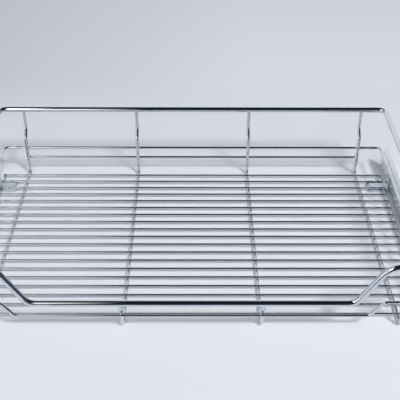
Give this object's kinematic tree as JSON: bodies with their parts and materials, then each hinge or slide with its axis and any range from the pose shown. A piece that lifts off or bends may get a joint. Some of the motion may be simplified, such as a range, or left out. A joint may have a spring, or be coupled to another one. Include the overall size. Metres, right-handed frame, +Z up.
{
  "type": "pull-out pot basket",
  "caption": "Wide pull-out wire basket for pots in a kitchen base cabinet, with a dipped front rim, on ball-bearing side runners.",
  "frame": {"origin": "under the middle of the basket, on the level that its cross wires stand on", "axes": "+X to the right along the basket's width, +Y to the back of the cabinet, +Z up; the basket pulls out along -Y"},
  "size_m": [0.764, 0.45, 0.1394],
  "materials": {
    "chrome_wire": "bright chrome plating on round wire",
    "tab_plating": "chrome plating on pressed sheet",
    "zinc_steel": "bright zinc-plated rolled steel",
    "fastener_zinc": "zinc-plated steel fasteners",
    "cage_steel": "zinc-plated strip",
    "polished_steel": "polished bearing steel",
    "black_plastic": "moulded plastic"
  },
  "bodies": {
    "cabinet_side": {"left_cabinet_member": "zinc_steel", "left_rear_bumper": "black_plastic", "right_cabinet_member": "zinc_steel", "right_rear_bumper": "black_plastic"},
    "basket": {"cross_wire_1": "chrome_wire", "cross_wire_2": "chrome_wire", "cross_wire_3": "chrome_wire", "cross_wire_4": "chrome_wire", "floor_wire_01": "chrome_wire", "floor_wire_02": "chrome_wire", "floor_wire_03": "chrome_wire", "floor_wire_04": "chrome_wire", "floor_wire_05": "chrome_wire", "floor_wire_06": "chrome_wire", "floor_wire_07": "chrome_wire", "floor_wire_08": "chrome_wire", "floor_wire_09": "chrome_wire", "floor_wire_10": "chrome_wire", "floor_wire_11": "chrome_wire", "floor_wire_12": "chrome_wire", "floor_wire_13": "chrome_wire", "floor_wire_14": "chrome_wire", "floor_wire_15": "chrome_wire", "floor_wire_16": "chrome_wire", "floor_wire_17": "chrome_wire", "floor_wire_18": "chrome_wire", "floor_wire_19": "chrome_wire", "left_border_wire": "chrome_wire", "left_bracket_rivets": "fastener_zinc", "left_drawer_member": "zinc_steel", "left_front_bracket": "zinc_steel", "left_front_tab": "tab_plating", "left_rear_bracket": "zinc_steel", "left_rear_tab": "tab_plating", "left_release_lever": "black_plastic", "lower_back_rail": "chrome_wire", "middle_rail": "chrome_wire", "right_border_wire": "chrome_wire", "right_bracket_rivets": "fastener_zinc", "right_drawer_member": "zinc_steel", "right_front_bracket": "zinc_steel", "right_front_tab": "tab_plating", "right_rear_bracket": "zinc_steel", "right_rear_tab": "tab_plating", "right_release_lever": "black_plastic", "tab_nuts": "fastener_zinc", "tab_screws": "fastener_zinc", "top_rail": "chrome_wire"},
    "left_middle": {"left_middle_member": "zinc_steel"},
    "right_middle": {"right_middle_member": "zinc_steel"},
    "left_outer_balls": {"left_outer_balls": "polished_steel", "left_outer_cage": "cage_steel"},
    "right_outer_balls": {"right_outer_balls": "polished_steel", "right_outer_cage": "cage_steel"},
    "left_inner_balls": {"left_inner_balls": "polished_steel", "left_inner_cage": "cage_steel"},
    "right_inner_balls": {"right_inner_balls": "polished_steel", "right_inner_cage": "cage_steel"}
  },
  "joints": [
    {"name": "basket_pull_out", "type": "slide", "parent": "cabinet_side", "child": "basket", "axis": [0, -1, 0], "range_m": [0, 0.44]},
    {"name": "left_middle_slide", "type": "slide", "parent": "cabinet_side", "child": "left_middle", "axis": [0, -1, 0], "range_m": [0, 0.22]},
    {"name": "right_middle_slide", "type": "slide", "parent": "cabinet_side", "child": "right_middle", "axis": [0, -1, 0], "range_m": [0, 0.22]},
    {"name": "left_outer_balls_slide", "type": "slide", "parent": "cabinet_side", "child": "left_outer_balls", "axis": [0, -1, 0], "range_m": [0, 0.11]},
    {"name": "right_outer_balls_slide", "type": "slide", "parent": "cabinet_side", "child": "right_outer_balls", "axis": [0, -1, 0], "range_m": [0, 0.11]},
    {"name": "left_inner_balls_slide", "type": "slide", "parent": "cabinet_side", "child": "left_inner_balls", "axis": [0, -1, 0], "range_m": [0, 0.33]},
    {"name": "right_inner_balls_slide", "type": "slide", "parent": "cabinet_side", "child": "right_inner_balls", "axis": [0, -1, 0], "range_m": [0, 0.33]}
  ],
  "couplings": [
    {"joint": "left_middle_slide", "follows": "basket_pull_out", "ratio": 0.5},
    {"joint": "right_middle_slide", "follows": "basket_pull_out", "ratio": 0.5},
    {"joint": "left_outer_balls_slide", "follows": "basket_pull_out", "ratio": 0.25},
    {"joint": "right_outer_balls_slide", "follows": "basket_pull_out", "ratio": 0.25},
    {"joint": "left_inner_balls_slide", "follows": "basket_pull_out", "ratio": 0.75},
    {"joint": "right_inner_balls_slide", "follows": "basket_pull_out", "ratio": 0.75}
  ]
}
